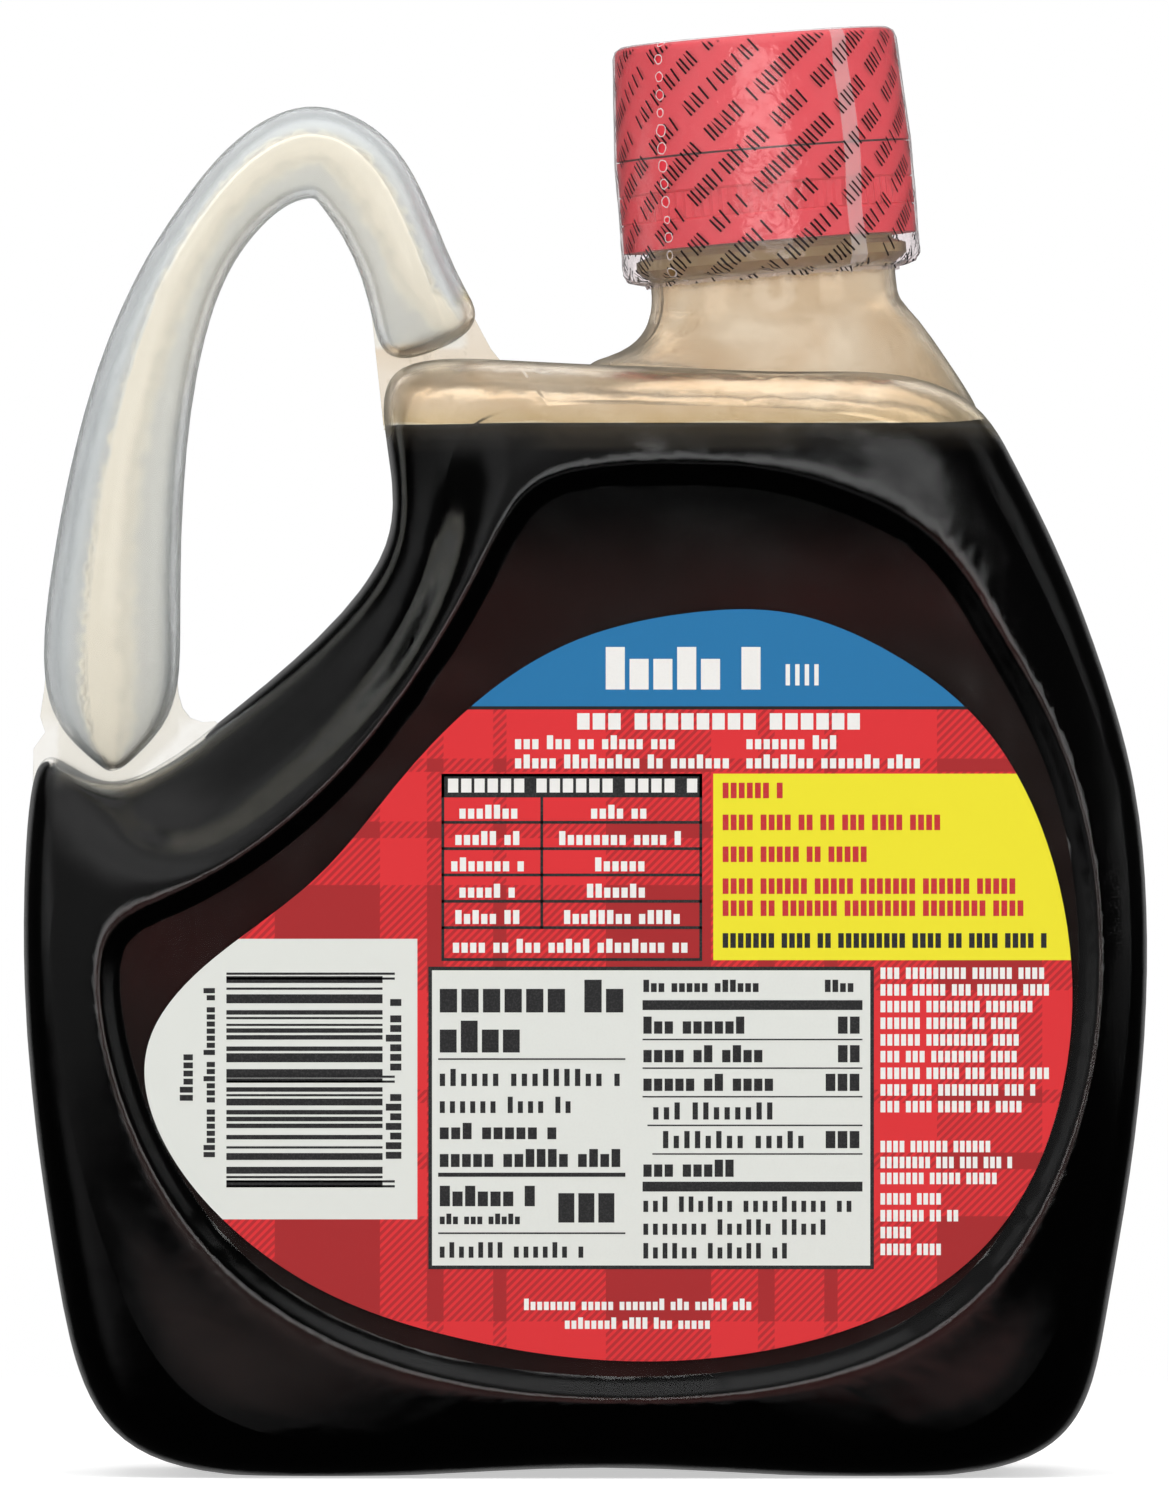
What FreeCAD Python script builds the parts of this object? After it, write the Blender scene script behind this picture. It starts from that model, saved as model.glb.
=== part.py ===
"""Pancake syrup bottle: a flat, blow-moulded clear bottle with a hollow loop handle,
filled with dark syrup, with a flip-top cap under a shrink band and a label in each
recessed panel.

Frame, in millimetres: +Z up, the bottle stands on Z = 0, X is its width with the
handle at -X and the neck at +X, Y is its depth. The XZ plane is the mould's parting
plane. The back label faces -Y and the front label faces +Y.
"""

import FreeCAD, Part
import math
import os

V = FreeCAD.Vector

# ---- driving dimensions, mm and degrees --------------------------------------------
BODY_WIDTH = 137.6  # widest part of the body
SHOULDER_HEIGHT = 136.75  # from the base to the flat of the shoulder
BODY_DEPTH = 53.0  # over the raised rims of the two panels
WALL = 0.9  # thickness of the blown plastic
BASE_WALL = 1.5  # thicker plastic under the contents
PANEL_RECESS = 1.2  # how deep each label panel lies below its rim
RIM_SLOPE = 2.2  # from the rim's crest in to the foot of its slope
PANEL_EDGE = 0.5  # from there on to where the panel is quite flat
SHELF_DEPTH = 0.66  # half depth of the finger relief, as a share of the body's

NECK_RADIUS = 15.1
NECK_LEAN = 4.6  # the neck leans towards the handle
NECK_RISE = 9.1  # from the shoulder's flat to the foot of the neck
NECK_LENGTH = 16.0  # from its foot to the mouth
BEAD_RADIUS = NECK_RADIUS + 1.6  # collar of the neck, under the cap
BEAD_FOOT = 2.8  # above the foot of the neck
BEAD_TOP = 5.2
BEAD_SLOPE = 0.6  # how far its underside and its top slope

HANDLE_DEPTH = 17.0  # thickest part of the loop, along Y
WEB_THICKNESS = 2.2  # plastic pinched flat where the loop meets the body

FILL_HEIGHT = 128.6  # level of the syrup
FILL_CLEARANCE = 0.08  # between the syrup and the wall

CAP_LIFT = 5.8  # foot of the cap above the foot of the neck
CAP_RADIUS = NECK_RADIUS + 3.0
BASE_HEIGHT = 11.3  # cap base, up to the seam of the lid
LID_HEIGHT = 14.0
LID_TAPER = 0.85  # how much narrower the lid is at its top
LID_ROUNDING = 1.0
CAP_CLEARANCE = 0.15  # round the neck and above its mouth
SEAM = 0.25  # gap between cap base and lid
RIB_FOOT = 3.6  # band of fine ribs, above the foot of the cap
RIB_TOP = 6.8
RIB_COUNT = 90
RIB_DEPTH = 0.3

FILM = 0.2  # thickness of the shrink band
BAND_FOOT = 1.2  # its lower edge, above the foot of the neck
HEM_DROP = 0.2  # where it turns in to the neck, below the neck's bead
HEM_ROUNDING = 0.8
FILM_CLEARANCE = 0.1
FILM_LIP = 3.0  # how far it folds in over the top of the lid

LABEL_THICKNESS = 0.12

PATCH = 4  # control points along and around one patch of a smooth skin

# ---- outlines ----------------------------------------------------------------------
# Control points of two closed curves, in per cent of half the body's width and of the
# shoulder's height. Each line pairs a point of the parting line with the point of the
# panel's rim that faces it: x, z, rim x, rim z, and how far the wall between them is
# pushed in as a relief for the fingers, 0 to 1.
STATIONS = [
    (-38.0, 101.0, -11.4, 89.2, 0.7),  # corner below the loop's upper end
    (-12.0, 100.1, 2.0, 90.5, 0.0),
    (10.1, 99.5, 17.2, 90.8, 0.0),  # flat of the shoulder
    (33.4, 99.5, 33.0, 90.5, 0.0),
    (57.6, 99.3, 46.6, 88.4, 0.0),
    (71.2, 96.4, 59.6, 85.4, 0.0),  # slope from the neck to the right side
    (76.8, 90.9, 68.4, 80.6, 0.0),
    (85.5, 82.3, 75.6, 74.0, 0.0),
    (93.0, 72.1, 84.6, 66.6, 0.0),
    (98.9, 61.9, 90.4, 57.0, 0.0),
    (100.7, 51.0, 92.0, 48.4, 0.0),  # widest on the right
    (100.4, 39.7, 91.5, 38.2, 0.0),
    (97.8, 27.1, 85.2, 27.2, 0.0),
    (93.2, 14.4, 74.8, 18.2, 0.0),
    (90.2, 4.8, 59.8, 12.0, 0.0),  # lower right corner
    (76.5, -0.3, 42.0, 8.7, 0.0),
    (42.4, -0.5, 24.4, 7.3, 0.0),
    (2.9, 1.1, 6.5, 6.9, 0.0),  # the base is arched a little between two feet
    (-36.6, -0.5, -11.5, 7.5, 0.0),
    (-76.0, -0.4, -30.4, 9.2, 0.0),
    (-90.0, 6.0, -50.4, 13.2, 0.0),  # lower left corner
    (-94.4, 18.0, -68.0, 20.0, 0.0),
    (-98.5, 31.6, -80.1, 29.8, 0.0),
    (-100.4, 44.3, -86.2, 39.7, 0.0),
    (-100.2, 55.1, -87.0, 48.8, 0.0),  # widest on the left
    (-98.6, 67.8, -77.6, 51.3, 0.5),  # lobe beside the loop's lower end
    (-86.1, 59.4, -65.8, 54.1, 1.0),  # valley under the loop's lower end
    (-64.5, 68.0, -52.4, 58.9, 1.0),
    (-47.3, 75.0, -40.9, 64.6, 1.0),  # the side of the body along the finger gap
    (-32.9, 83.6, -29.8, 71.9, 1.0),
    (-35.2, 92.0, -18.9, 81.2, 1.0),
]

# Wall of the body from the parting plane to the rim: share of the way from the parting
# line to the rim, and share of the half depth, first for a plain wall, then for one
# pushed in as a finger relief.
PLAIN_WALL = [(0.0, 0.30), (0.0, 0.62), (0.07, 0.87), (0.36, 0.952), (0.70, 0.970)]
RELIEF_WALL = [(0.0, 0.22), (0.05, 0.48), (0.25, 0.62), (0.62, SHELF_DEPTH), (0.84, 0.93)]

# Middle line of the loop handle, same per cent, with its thickness in the parting
# plane, mm, and its share of the loop's depth.
LOOP = [
    (-84.6, 64.2, 5.0, 0.35),  # rounded tip of the lower end
    (-84.8, 66.4, 12.0, 0.68),
    (-84.9, 70.0, 16.6, 0.90),
    (-84.9, 75.0, 17.1, 1.00),
    (-84.2, 80.5, 16.1, 1.00),
    (-83.1, 86.3, 15.0, 0.97),
    (-81.2, 93.1, 13.5, 0.92),
    (-78.1, 100.2, 11.9, 0.85),
    (-73.3, 107.1, 10.2, 0.78),
    (-67.5, 112.2, 9.2, 0.72),
    (-59.3, 117.2, 10.3, 0.70),
    (-49.4, 119.8, 12.8, 0.70),  # top of the loop
    (-41.5, 117.9, 12.6, 0.72),
    (-35.9, 113.4, 11.3, 0.75),
    (-32.3, 109.0, 10.9, 0.78),
    (-29.8, 105.3, 12.0, 0.80),
    (-27.6, 102.6, 13.5, 0.62),  # blunt upper end
]
# Half section of the loop: share of its thickness, outer side first, and of its depth.
# The crest lies a third of the way in from the outer side.
LOOP_SECTION = [(-0.50, 0.30), (-0.44, 0.86), (-0.20, 1.10), (0.14, 1.00), (0.46, 0.78), (0.50, 0.26)]

# Plastic pinched flat between the loop's two ends and the body, same per cent.
LOWER_WEB = [
    (-99.0, 62.0),
    (-98.9, 65.2),
    (-96.8, 66.7),
    (-97.7, 68.1),
    (-96.9, 70.8),
    (-96.6, 73.0),
    (-73.4, 73.0),
    (-72.9, 70.2),
    (-72.2, 68.9),
    (-70.8, 68.0),
    (-68.6, 67.6),
    (-66.4, 67.7),
    (-62.0, 66.0),
    (-74.0, 60.0),
    (-90.0, 60.0),
]
UPPER_WEB = [
    (-38.4, 105.2),
    (-37.5, 101.0),
    (-36.0, 94.0),
    (-14.0, 94.0),
    (-11.0, 99.6),
    (-13.4, 99.8),
    (-15.2, 100.3),
    (-16.8, 101.3),
    (-18.2, 102.6),
    (-20.9, 105.2),
    (-26.0, 107.0),
    (-34.0, 107.0),
]

# Edge of a label, control points in the same per cent.
LABEL_EDGE = [
    (21.0, 77.8),
    (38.8, 77.8),
    (57.2, 73.4),
    (72.2, 67.5),
    (82.3, 58.2),
    (87.2, 47.2),
    (86.7, 37.2),
    (80.9, 26.6),
    (67.6, 17.8),
    (44.0, 12.0),
    (12.0, 9.7),
    (-18.0, 11.6),
    (-47.0, 15.8),
    (-68.4, 24.2),
    (-78.6, 32.8),
    (-78.8, 40.0),
    (-67.0, 46.6),
    (-46.6, 53.2),
    (-34.0, 62.0),
    (-20.0, 69.6),
    (-2.0, 75.6),
]


def at(x_percent, z_percent):
    """A place in the parting plane, from per cent of half the width and the height."""
    return V(x_percent / 100 * BODY_WIDTH / 2, 0, z_percent / 100 * SHOULDER_HEIGHT)


def moved_in(points, distance):
    """A closed outline moved inwards: each point along the normal of its neighbours."""
    moved = []
    for i, point in enumerate(points):
        along = points[(i + 1) % len(points)] - points[i - 1]
        inwards = V(-along.z, 0, along.x).negative()
        moved.append(point + inwards.normalize() * distance)
    return moved


def between(a, b, share):
    return a + (b - a) * share


def steps(last, step):
    """0, step, 2 * step and so on, ending at last."""
    return [*range(0, last, step), last]


def surface_solid(rings):
    """A solid whose skin is one smooth surface through closed rings of control points,
    shut by a flat face at the first and the last ring. The skin is cut into patches,
    because a large trimmed face makes volumes inexact."""
    last, around = len(rings) - 3, len(rings[0])
    skin = Part.BSplineSurface()
    skin.buildFromPolesMultsKnots(
        rings,
        [4] + [1] * (last - 1) + [4],
        [1] * (around + 1),
        list(range(last + 1)),
        list(range(around + 1)),
        False,
        True,
        3,
        3,
    )
    along, turns = steps(last, PATCH), steps(around, PATCH)
    faces = [
        skin.toShape(u0, u1, v0, v1)
        for u0, u1 in zip(along, along[1:])
        for v0, v1 in zip(turns, turns[1:])
    ]
    for level in (0, last):
        rim = skin.uIso(level)
        edges = [rim.toShape(v0, v1) for v0, v1 in zip(turns, turns[1:])]
        faces.append(Part.Face(Part.Wire(edges)))
    shell = Part.Compound(faces)
    shell.sewShape()
    solid = Part.Solid(shell.Shells[0])
    return solid if solid.Volume > 0 else solid.reversed()


# ---- body --------------------------------------------------------------------------
def body_solid(inset):
    """The body without its neck, or its cavity when inset is the wall's thickness."""
    half_depth = BODY_DEPTH / 2 - inset
    panel = half_depth - PANEL_RECESS
    edge = moved_in([at(x, z) for x, z, _, _, _ in STATIONS], inset)
    rim = [at(x, z) for _, _, x, z, _ in STATIONS]
    half = [
        [p + V(0, panel, 0) for p in moved_in(rim, RIM_SLOPE + PANEL_EDGE)],
        [p + V(0, panel, 0) for p in moved_in(rim, RIM_SLOPE)],
        [p + V(0, half_depth - PANEL_RECESS * 0.6, 0) for p in moved_in(rim, RIM_SLOPE * 0.55)],
        [p + V(0, half_depth + PANEL_RECESS * 0.3, 0) for p in rim],
    ]
    for plain, relief in zip(reversed(PLAIN_WALL), reversed(RELIEF_WALL)):
        ring = []
        for i, station in enumerate(STATIONS):
            way, depth = (a + (b - a) * station[4] for a, b in zip(plain, relief))
            ring.append(between(edge[i], rim[i], way) + V(0, half_depth * depth, 0))
        half.append(ring)
    mirrored = [[V(p.x, -p.y, p.z) for p in ring] for ring in reversed(half)]
    return surface_solid(half + [edge] + mirrored)


# ---- neck --------------------------------------------------------------------------
NECK_FOOT = at(34.0, 100.0) + V(0, 0, NECK_RISE)
NECK_UP = V(-math.sin(math.radians(NECK_LEAN)), 0, math.cos(math.radians(NECK_LEAN)))
NECK_RIGHT = V(NECK_UP.z, 0, -NECK_UP.x)
NECK_POLES = 16

# The flare below the neck, from its foot down into the shoulder: how far out from the
# neck's own wall and how far down from its foot, towards the handle, away from it, and
# towards either panel.
FLARE = [
    ((0.0, 1.2), (0.2, 1.2), (0.0, 1.2)),
    ((0.0, 2.6), (2.8, 3.4), (0.0, 3.0)),
    ((0.8, 5.6), (6.4, 8.6), (1.0, 6.0)),
    ((4.4, 8.4), (9.2, 12.8), (4.0, 9.6)),
    ((11.0, 9.3), (11.2, 16.6), (8.6, 14.4)),
    ((11.0, 22.0), (9.0, 22.0), (9.5, 22.0)),
]


def neck_ring(radius, height):
    """Control points of a circle round the neck's axis, height above its foot."""
    reach = radius / math.cos(math.pi / NECK_POLES) ** 1.35
    ring = []
    for k in range(NECK_POLES):
        turn = 2 * math.pi * k / NECK_POLES
        out = NECK_RIGHT * math.cos(turn) + V(0, math.sin(turn), 0)
        ring.append(NECK_FOOT + NECK_UP * height + out * reach)
    return ring


def flare_ring(step, inset):
    ring = []
    for k in range(NECK_POLES):
        turn = 2 * math.pi * k / NECK_POLES
        across, aside = math.cos(turn), math.sin(turn)
        shares = (max(0.0, -across) ** 2, max(0.0, across) ** 2, aside**2)
        out = sum(share * way[0] for share, way in zip(shares, step))
        down = sum(share * way[1] for share, way in zip(shares, step))
        reach = (NECK_RADIUS - inset + out) / math.cos(math.pi / NECK_POLES) ** 1.35
        level = NECK_FOOT - V(0, 0, down)
        ring.append(level + V(across * reach, aside * reach, 0))
    return ring


def neck_solid(inset, top):
    """The neck and its flare, up to top above its foot; its bore when inset is a wall."""
    rings = [neck_ring(NECK_RADIUS - inset, top), neck_ring(NECK_RADIUS - inset, top * 0.66)]
    rings += [neck_ring(NECK_RADIUS - inset, top * 0.33), neck_ring(NECK_RADIUS - inset, 0)]
    return surface_solid(rings + [flare_ring(step, inset) for step in FLARE])


def turned(radii_heights):
    """A solid of revolution round the neck's axis, from its half outline."""
    points = [NECK_FOOT + NECK_RIGHT * r + NECK_UP * h for r, h in radii_heights]
    face = Part.Face(Part.makePolygon(points + points[:1]))
    return face.revolve(NECK_FOOT, NECK_UP, 360)


def neck_bead():
    inside = NECK_RADIUS - WALL / 2
    return turned(
        [
            (inside, BEAD_FOOT - BEAD_SLOPE),
            (NECK_RADIUS, BEAD_FOOT - BEAD_SLOPE),
            (BEAD_RADIUS, BEAD_FOOT + BEAD_SLOPE),
            (BEAD_RADIUS, BEAD_TOP - BEAD_SLOPE),
            (NECK_RADIUS, BEAD_TOP),
            (inside, BEAD_TOP),
        ]
    )


# ---- loop handle -------------------------------------------------------------------
def loop_solid(inset):
    """The loop handle, or the hollow in it when inset is the wall's thickness."""
    middle = [at(x, z) for x, z, _, _ in LOOP]
    rings = []
    for i, (_, _, thickness, share) in enumerate(LOOP):
        along = middle[min(i + 1, len(LOOP) - 1)] - middle[max(i - 1, 0)]
        inner = V(along.z, 0, -along.x).normalize()
        across = thickness - 2 * inset
        deep = HANDLE_DEPTH * share / 2 - inset
        half = [(inner * (a * across), deep * d) for a, d in LOOP_SECTION]
        ring = [middle[i] + side + V(0, y, 0) for side, y in half]
        ring += [middle[i] + side - V(0, y, 0) for side, y in reversed(half)]
        rings.append(ring)
    first, last = rings[0], rings[-1]
    down, on = V(0, 0, -1), (middle[-1] - middle[-2]).normalize()
    tip = [between(p, middle[0], 0.75) + down * (1.6 - inset) for p in first]
    end = [between(p, middle[-1], 0.35) + on * (1.8 - inset) for p in last]
    blunt = [between(p, middle[-1], 0.8) + on * (2.0 - inset) for p in last]
    return surface_solid([tip] + rings + [end, blunt])


def web(points):
    corners = [at(x, z) - V(0, WEB_THICKNESS / 2, 0) for x, z in points]
    return Part.Face(Part.makePolygon(corners + corners[:1])).extrude(V(0, WEB_THICKNESS, 0))


# ---- bottle and syrup ----------------------------------------------------------------
def between_levels(shape, low, high):
    """The part of a shape between two heights."""
    corner = V(-BODY_WIDTH, -BODY_DEPTH, low)
    return shape.common(Part.makeBox(2 * BODY_WIDTH, 2 * BODY_DEPTH, high - low, corner))


def bottle():
    outside = body_solid(0).fuse(
        [neck_solid(0, NECK_LENGTH), neck_bead(), loop_solid(0), web(LOWER_WEB), web(UPPER_WEB)]
    )
    over_all = 2 * SHOULDER_HEIGHT
    standing = between_levels(outside, 0, over_all)
    cavity = body_solid(WALL).fuse(neck_solid(WALL, NECK_LENGTH + 1))
    return standing.cut([between_levels(cavity, BASE_WALL, over_all), loop_solid(WALL)])


def syrup():
    inset = WALL + FILL_CLEARANCE
    filled = body_solid(inset).fuse(neck_solid(inset, NECK_LENGTH))
    return between_levels(filled, BASE_WALL + FILL_CLEARANCE, FILL_HEIGHT)


# ---- cap and band ----------------------------------------------------------------------
CAP_SEAM = CAP_LIFT + BASE_HEIGHT
CAP_TOP = CAP_SEAM + LID_HEIGHT


def ribbed_ring():
    """Band of fine upright ribs round the cap base."""
    inside, foot = NECK_RADIUS + 1.5, CAP_LIFT + RIB_FOOT
    points = []
    for k in range(2 * RIB_COUNT):
        turn = math.pi * k / RIB_COUNT
        reach = CAP_RADIUS - (RIB_DEPTH if k % 2 else 0)
        out = NECK_RIGHT * math.cos(turn) + V(0, math.sin(turn), 0)
        points.append(NECK_FOOT + NECK_UP * foot + out * reach)
    star = Part.Face(Part.makePolygon(points + points[:1]))
    ribs = star.extrude(NECK_UP * (RIB_TOP - RIB_FOOT))
    core = Part.makeCylinder(inside, RIB_TOP, NECK_FOOT + NECK_UP * (foot - 1), NECK_UP)
    return ribs.cut(core)


def cap_base():
    """Skirt over the neck and the deck that shuts it, with its band of ribs."""
    bore, deck = NECK_RADIUS + CAP_CLEARANCE, NECK_LENGTH + CAP_CLEARANCE
    plain = CAP_RADIUS - RIB_DEPTH
    top = CAP_SEAM - SEAM / 2
    skirt = turned(
        [(bore, CAP_LIFT), (CAP_RADIUS, CAP_LIFT), (CAP_RADIUS, CAP_LIFT + RIB_FOOT - 0.3)]
        + [(plain, CAP_LIFT + RIB_FOOT), (plain, CAP_LIFT + RIB_TOP)]
        + [(CAP_RADIUS, CAP_LIFT + RIB_TOP + 0.3), (CAP_RADIUS, top)]
        + [(0, top), (0, deck), (bore, deck)]
    )
    return skirt.fuse(ribbed_ring())


def cap_lid():
    foot, narrow = CAP_SEAM + SEAM / 2, CAP_RADIUS - LID_TAPER
    lid = turned([(0, foot), (CAP_RADIUS, foot), (narrow, CAP_TOP), (0, CAP_TOP)])
    rims = [e for e in lid.Edges if abs(e.Length - 2 * math.pi * narrow) < 0.01]
    return lid.makeFillet(LID_ROUNDING, rims)


def round_the_rim(clearance):
    """Points round the top edge of the lid, outside it by a clearance."""
    middle_radius = CAP_RADIUS - LID_TAPER - LID_ROUNDING
    middle_height = CAP_TOP - LID_ROUNDING
    reach = LID_ROUNDING / math.cos(math.radians(15)) + clearance
    points = []
    for turn in (0, 30, 60, 90):
        out = reach * math.cos(math.radians(turn))
        up = reach * math.sin(math.radians(turn))
        points.append((middle_radius + out, middle_height + up))
    return points


def film_side(out):
    """Half outline of the shrink band's inner side, or of its outer side when out is
    the film's thickness."""
    gap = FILM_CLEARANCE + out
    hem = BEAD_FOOT - BEAD_SLOPE - HEM_DROP - out
    rim = round_the_rim(gap)
    return [
        (NECK_RADIUS + gap, BAND_FOOT),
        (NECK_RADIUS + gap, hem),
        (CAP_RADIUS + gap - HEM_ROUNDING, hem + HEM_ROUNDING / 2),
        (CAP_RADIUS + gap, hem + 2 * HEM_ROUNDING),
        (CAP_RADIUS + gap, CAP_SEAM),
        *rim,
        (rim[0][0] - FILM_LIP, rim[-1][1]),
    ]


def shrink_band():
    """Clear film from the neck, loose round its bead, over the cap and in on the lid."""
    return turned(film_side(0) + film_side(FILM)[::-1])


def label(side):
    """A label lying on the flat of a panel; side is -1 for -Y and 1 for +Y."""
    y = side * (BODY_DEPTH / 2 - PANEL_RECESS)
    edge = Part.BSplineCurve()
    points = [at(x, z) + V(0, y, 0) for x, z in LABEL_EDGE]
    count = len(points)
    edge.buildFromPolesMultsKnots(points, [1] * (count + 1), list(range(count + 1)), True, 3)
    return Part.Face(Part.Wire(edge.toShape())).extrude(V(0, side * LABEL_THICKNESS, 0))


def main():
    os.makedirs("parts", exist_ok=True)
    nodes = {
        "bottle": bottle(),
        "syrup": syrup(),
        "cap_base": cap_base(),
        "cap_lid": cap_lid(),
        "shrink_band": shrink_band(),
        "back_label": label(-1),
        "front_label": label(1),
    }
    for name, shape in nodes.items():
        shape.exportStep(f"parts/{name}.step")
        print(name, "valid" if shape.isValid() else "NOT VALID", round(shape.Volume / 1000, 2), "cm3")


main()
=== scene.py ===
"""Pancake syrup bottle: materials, print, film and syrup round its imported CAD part.

Row frame: +Z up, the bottle stands on Z = 0, the back label faces -Y. Lengths below are
in millimetres unless a name says otherwise, and MM turns them into metres.
"""
import math
import random

import bmesh
import bpy
import numpy as np
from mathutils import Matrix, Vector


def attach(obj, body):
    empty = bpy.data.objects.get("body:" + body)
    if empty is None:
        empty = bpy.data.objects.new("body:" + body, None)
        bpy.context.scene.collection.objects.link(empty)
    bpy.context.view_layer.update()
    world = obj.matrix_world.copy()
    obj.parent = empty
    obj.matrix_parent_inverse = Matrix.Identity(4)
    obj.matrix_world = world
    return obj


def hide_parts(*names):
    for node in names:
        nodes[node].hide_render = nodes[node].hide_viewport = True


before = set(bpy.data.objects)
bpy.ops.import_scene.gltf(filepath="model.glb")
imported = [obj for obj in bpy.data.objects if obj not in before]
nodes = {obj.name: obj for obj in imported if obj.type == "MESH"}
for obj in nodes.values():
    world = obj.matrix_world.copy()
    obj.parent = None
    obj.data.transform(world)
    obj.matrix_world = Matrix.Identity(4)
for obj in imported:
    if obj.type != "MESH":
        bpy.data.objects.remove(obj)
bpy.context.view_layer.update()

MM = 0.001
scene = bpy.context.scene


# ---- bottle ------------------------------------------------------------------------------
# Blow-moulded clear plastic, a little milky: glossy and uneven by the blowing, cream where
# syrup has wetted the inside, with a painted blue-grey reflection on the outer facets of the handle.
class Tree:
    """Short hands for one material's or one node group's tree."""

    def __init__(self, tree):
        self.tree = tree

    def add(self, kind, inputs=None, **settings):
        node = self.tree.nodes.new(kind)
        for key, value in settings.items():
            setattr(node, key, value)
        for key, value in (inputs or {}).items():
            if isinstance(value, bpy.types.NodeSocket):
                self.tree.links.new(value, node.inputs[key])
            else:
                node.inputs[key].default_value = value
        return node

    def math(self, operation, a, b=0.0, c=0.0):
        inputs = {0: a, 1: b} if operation not in ("MULTIPLY_ADD", "WRAP") else {0: a, 1: b, 2: c}
        return self.add("ShaderNodeMath", inputs, operation=operation).outputs[0]

    def all_of(self, *masks):
        found = masks[0]
        for mask in masks[1:]:
            found = self.math("MULTIPLY", found, mask)
        return found

    def step(self, value, low, high):
        """0 below low, 1 above high, smooth between; high may be under low."""
        return self.add(
            "ShaderNodeMapRange",
            {"Value": value, "From Min": low, "From Max": high, "To Min": 0.0, "To Max": 1.0},
            interpolation_type="SMOOTHSTEP",
        ).outputs[0]

    def band(self, value, low, high, soft=0.05):
        above = self.step(value, low - soft, low + soft)
        return self.all_of(above, self.step(value, high + soft, high - soft))

    def mix(self, share, a, b):
        inputs = {"Factor": share, 6: a, 7: b}
        return self.add("ShaderNodeMix", inputs, data_type="RGBA").outputs[2]

    def blend(self, share, a, b):
        return self.add("ShaderNodeMix", {"Factor": share, 2: a, 3: b}).outputs[0]

    def noise(self, vector, scale, detail=2.0, distortion=0.0):
        inputs = {"Vector": vector, "Scale": scale, "Detail": detail, "Distortion": distortion}
        return self.add("ShaderNodeTexNoise", inputs).outputs[0]

    def place(self):
        """The piece's own coordinates, in millimetres, whole and split into X, Y and Z."""
        raw = self.add("ShaderNodeTexCoord").outputs["Object"]
        scaled = self.add("ShaderNodeVectorMath", {0: raw, "Scale": 1 / MM}, operation="SCALE").outputs[0]
        split = self.add("ShaderNodeSeparateXYZ", {0: scaled})
        return scaled, split.outputs[0], split.outputs[1], split.outputs[2]

    def bump(self, height, strength, distance):
        inputs = {"Height": height, "Strength": strength, "Distance": distance * MM}
        return self.add("ShaderNodeBump", inputs).outputs[0]

    def surface(self, shader):
        self.add("ShaderNodeOutputMaterial", {"Surface": shader})

    def principled(self, **inputs):
        named = {key.replace("_", " "): value for key, value in inputs.items()}
        return self.add("ShaderNodeBsdfPrincipled", named).outputs[0]


def new_material(name):
    made = bpy.data.materials.new(name)
    made.use_nodes = True
    made.node_tree.nodes.clear()
    return made, Tree(made.node_tree)


def rgb(red, green, blue):
    """Linear colour from display values 0 to 255."""
    shown = (red, green, blue)
    return tuple(((c / 255 + 0.055) / 1.055) ** 2.4 if c > 10 else c / 3295 for c in shown) + (1.0,)


def dress(piece, *materials):
    piece.data.materials.clear()
    for material in materials:
        piece.data.materials.append(material)


def smooth(mesh):
    for face in mesh.polygons:
        face.use_smooth = True


GAP_MIDDLE = (-38.0, 122.0)  # X and Z of the finger gap's middle
NECK_FOOT = Vector((23.39, 0.0, 145.85))
NECK_LEAN = math.radians(4.6)
NECK_UP = Vector((-math.sin(NECK_LEAN), 0.0, math.cos(NECK_LEAN)))
NECK_RIGHT = Vector((NECK_UP.z, 0.0, -NECK_UP.x))


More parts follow.
